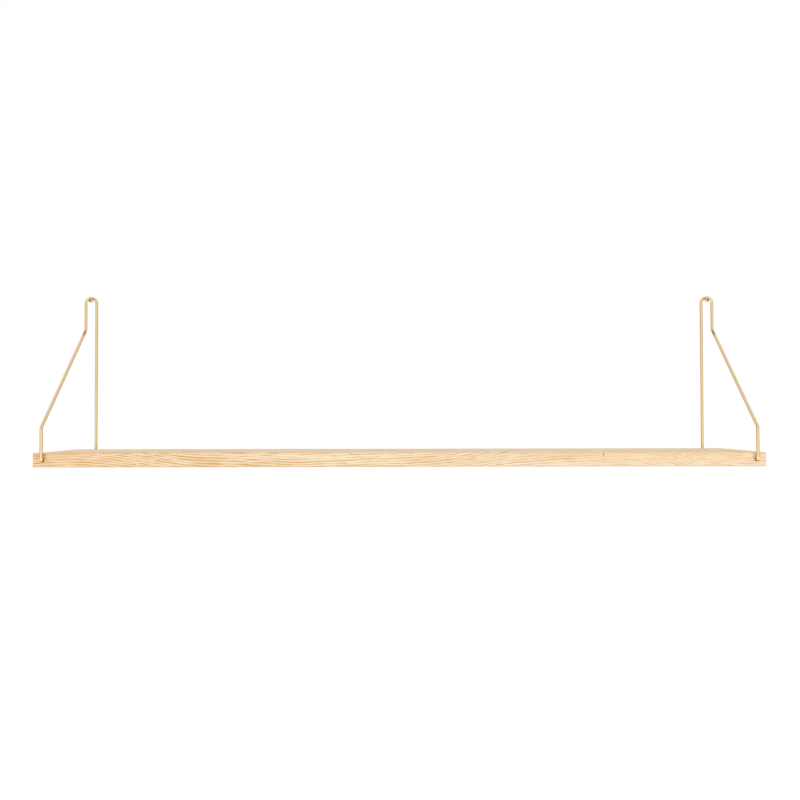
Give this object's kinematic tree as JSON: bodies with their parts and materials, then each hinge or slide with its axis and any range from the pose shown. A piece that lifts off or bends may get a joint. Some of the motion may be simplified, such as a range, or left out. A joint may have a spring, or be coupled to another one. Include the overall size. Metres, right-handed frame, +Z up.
{
  "type": "wall shelf with rod brackets",
  "caption": "Straight wooden wall shelf hung between bent brass rod brackets that hook into the board's edges and loop over wall screws.",
  "frame": {"origin": "on the wall's face, midway between the axes of the two wall screws", "axes": "+X along the wall to the right as seen from the room, -Y out of the wall into the room, +Z up"},
  "size_m": [1.2, 0.258, 0.3071],
  "materials": {
    "ash": "matt oiled, open pores",
    "brass_rod": "brushed, uncoated",
    "screw_steel": "yellow plated",
    "plug_nylon": "moulded"
  },
  "bodies": {
    "wall_fixings": {"left_wall_screw": "screw_steel", "right_wall_screw": "screw_steel", "left_wall_plug": "plug_nylon", "right_wall_plug": "plug_nylon"},
    "shelf": {"board_stave_1": "ash", "board_stave_2": "ash", "board_stave_3": "ash", "board_stave_4": "ash", "left_rod_bracket": "brass_rod", "right_rod_bracket": "brass_rod"}
  },
  "joints": [
    {"name": "lift_off", "type": "slide", "parent": "wall_fixings", "child": "shelf", "axis": [0, -0.7071, 0.7071], "range_m": [0, 0.04]}
  ]
}
